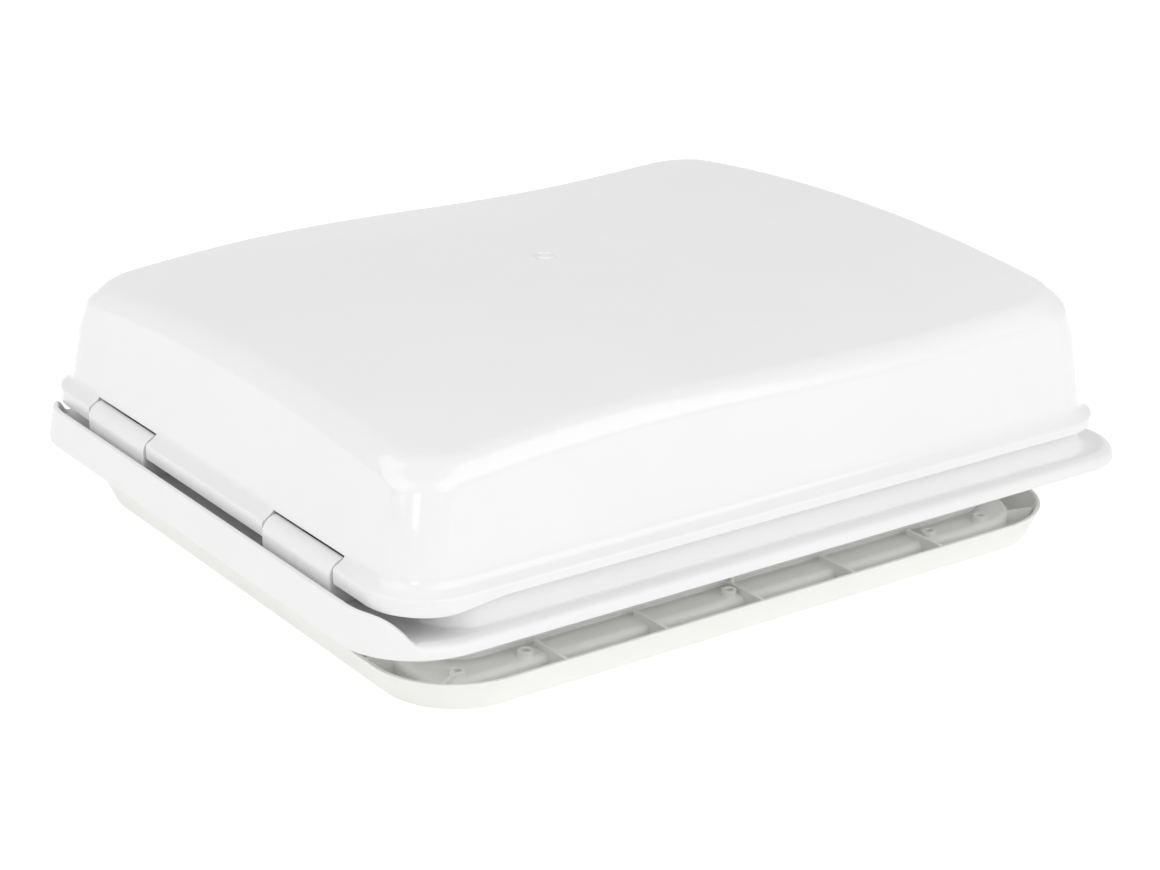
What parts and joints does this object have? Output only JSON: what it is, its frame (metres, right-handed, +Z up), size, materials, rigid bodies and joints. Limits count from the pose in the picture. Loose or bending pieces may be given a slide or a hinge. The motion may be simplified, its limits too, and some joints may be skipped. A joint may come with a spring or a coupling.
{
  "type": "caravan roof vent",
  "caption": "Hinged dome roof vent for a caravan: roof frame with hinge rail, wave-topped dome, clamped ceiling trim, flynet and crank winder.",
  "frame": {"origin": "middle of the vent's plan, on the room side edge of the ceiling trim", "axes": "+X from the hinge side to the opening side, +Y across, +Z up through the roof"},
  "size_m": [0.479, 0.398, 0.1461],
  "materials": {
    "dome_plastic": "gloss moulded",
    "frame_plastic": "satin moulded",
    "trim_plastic": "fine satin moulded",
    "seal_rubber": "matt extruded",
    "net_fibre": "coated woven fibre",
    "grey_nylon": "moulded",
    "dark_acetal": "moulded",
    "plated_steel": "zinc plated"
  },
  "bodies": {
    "root": {"roof_frame": "frame_plastic", "ceiling_trim": "trim_plastic", "dome_seal": "seal_rubber", "hinge_cover_near": "frame_plastic", "hinge_cover_far": "frame_plastic", "hinge_pins": "plated_steel", "net_frame": "trim_plastic", "net_mesh": "net_fibre", "gearbox_base": "grey_nylon", "gearbox_cover": "grey_nylon", "gearbox_screws": "plated_steel", "arm_bushes": "dark_acetal", "crank_bushes": "dark_acetal", "button_screws": "plated_steel"},
    "dome": {"dome_shell": "dome_plastic", "hinge_leaf_near": "grey_nylon", "hinge_leaf_far": "grey_nylon", "lift_track": "grey_nylon"},
    "arm": {"lift_arm": "plated_steel", "arm_gear": "plated_steel", "arm_shaft": "plated_steel", "roller_pin": "plated_steel"},
    "roller": {"arm_roller": "dark_acetal"},
    "crank": {"crank_shaft": "plated_steel", "worm": "plated_steel", "crank_lever": "trim_plastic", "crank_screw": "plated_steel", "fold_pin": "plated_steel"},
    "grip": {"grip_stem": "plated_steel"},
    "sleeve": {"grip_sleeve": "dark_acetal"},
    "button_1": {"net_button_1": "grey_nylon"},
    "button_2": {"net_button_2": "grey_nylon"},
    "button_3": {"net_button_3": "grey_nylon"},
    "button_4": {"net_button_4": "grey_nylon"}
  },
  "joints": [
    {"name": "dome_hinge", "type": "hinge", "parent": "root", "child": "dome", "pos_m": [-0.221, 0, 0.062], "axis": [0, -1, 0], "range_deg": [0, 50]},
    {"name": "arm_swing", "type": "hinge", "parent": "root", "child": "arm", "pos_m": [-0.13634, 0, 0.04], "axis": [0, -1, 0], "range_deg": [0, 76]},
    {"name": "roller_spin", "type": "hinge", "parent": "arm", "child": "roller", "pos_m": [0.00868, 0.011, 0.10762], "axis": [0, 1, 0], "continuous": true},
    {"name": "crank_turn", "type": "hinge", "parent": "root", "child": "crank", "pos_m": [-0.112, 0, 0.02], "axis": [0, 0, -1], "range_deg": [0, 2736]},
    {"name": "grip_fold", "type": "hinge", "parent": "crank", "child": "grip", "pos_m": [-0.0605, 0, 0.0035], "axis": [0, -1, 0], "range_deg": [0, 90]},
    {"name": "sleeve_spin", "type": "hinge", "parent": "grip", "child": "sleeve", "pos_m": [-0.0805, 0, 0.0035], "axis": [1, 0, 0], "continuous": true},
    {"name": "button_1_turn", "type": "hinge", "parent": "root", "child": "button_1", "pos_m": [-0.1896, -0.09, 0.005], "axis": [0, 0, 1], "range_deg": [0, 90]},
    {"name": "button_2_turn", "type": "hinge", "parent": "root", "child": "button_2", "pos_m": [-0.1896, 0.09, 0.005], "axis": [0, 0, 1], "range_deg": [0, 90]},
    {"name": "button_3_turn", "type": "hinge", "parent": "root", "child": "button_3", "pos_m": [0.1786, -0.09, 0.005], "axis": [0, 0, 1], "range_deg": [0, 90]},
    {"name": "button_4_turn", "type": "hinge", "parent": "root", "child": "button_4", "pos_m": [0.1786, 0.09, 0.005], "axis": [0, 0, 1], "range_deg": [0, 90]}
  ],
  "couplings": [
    {"joint": "arm_swing", "follows": "dome_hinge", "ratio": 1.52},
    {"joint": "crank_turn", "follows": "dome_hinge", "ratio": 54.72}
  ]
}
